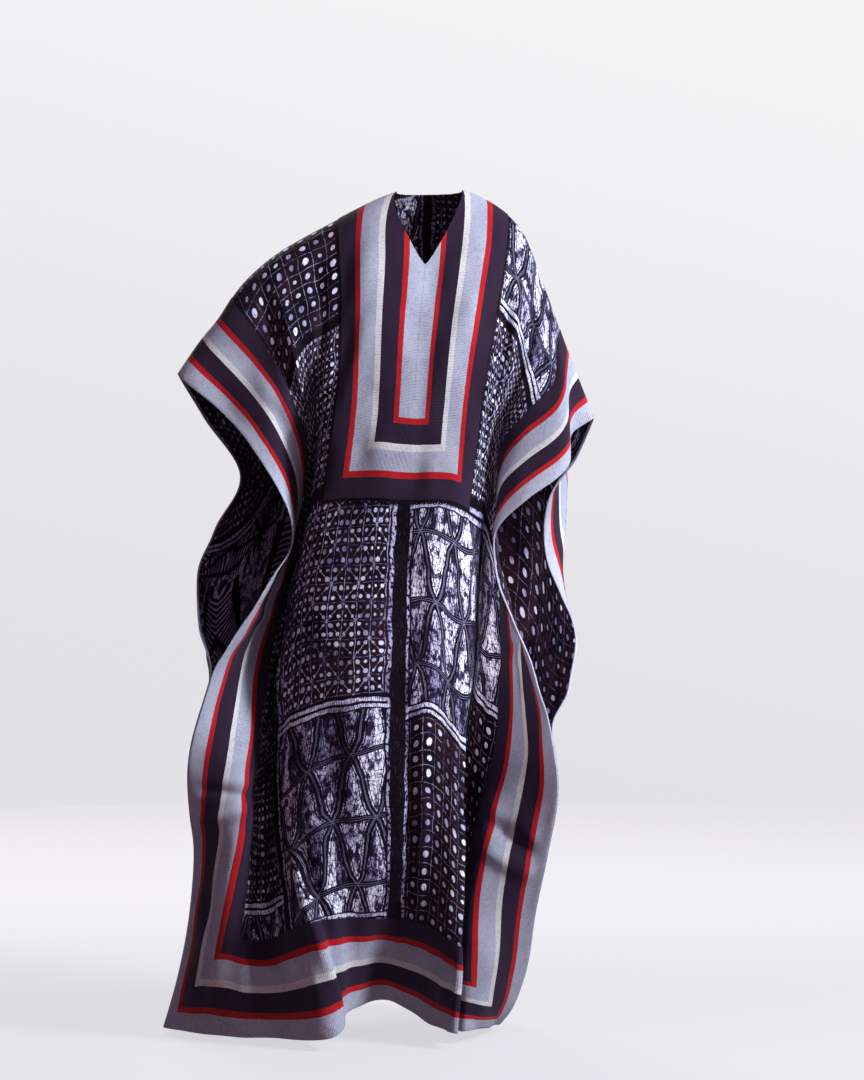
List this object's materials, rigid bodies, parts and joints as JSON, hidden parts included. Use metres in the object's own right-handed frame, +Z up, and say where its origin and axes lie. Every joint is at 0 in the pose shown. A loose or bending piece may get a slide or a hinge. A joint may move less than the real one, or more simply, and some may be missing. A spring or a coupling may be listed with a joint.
{
  "type": "kaftan",
  "caption": "Wide open-sided kaftan in indigo resist-dyed cloth, with striped woven bands round its edges and a V neck, held in its worn, hollow form.",
  "frame": {"origin": "middle of the shoulder line at the neck, where the garment is held up", "axes": "+Z up, the front faces -Y, +X to the wearer's left, which is the viewer's right"},
  "size_m": [0.7714, 0.4064, 1.4953],
  "materials": {
    "adire_cloth": "indigo cotton with pale resist-dyed squares, slight sheen",
    "striped_band": "ribbed woven band striped grey, red, navy and white"
  },
  "bodies": {
    "root": {"front_panel": "adire_cloth", "back_panel": "adire_cloth", "front_band_left": "striped_band", "front_band_right": "striped_band", "front_band_hem": "striped_band", "back_band_left": "striped_band", "back_band_right": "striped_band", "back_band_hem": "striped_band", "placket_left": "striped_band", "placket_right": "striped_band", "placket_foot": "striped_band"}
  },
  "joints": []
}
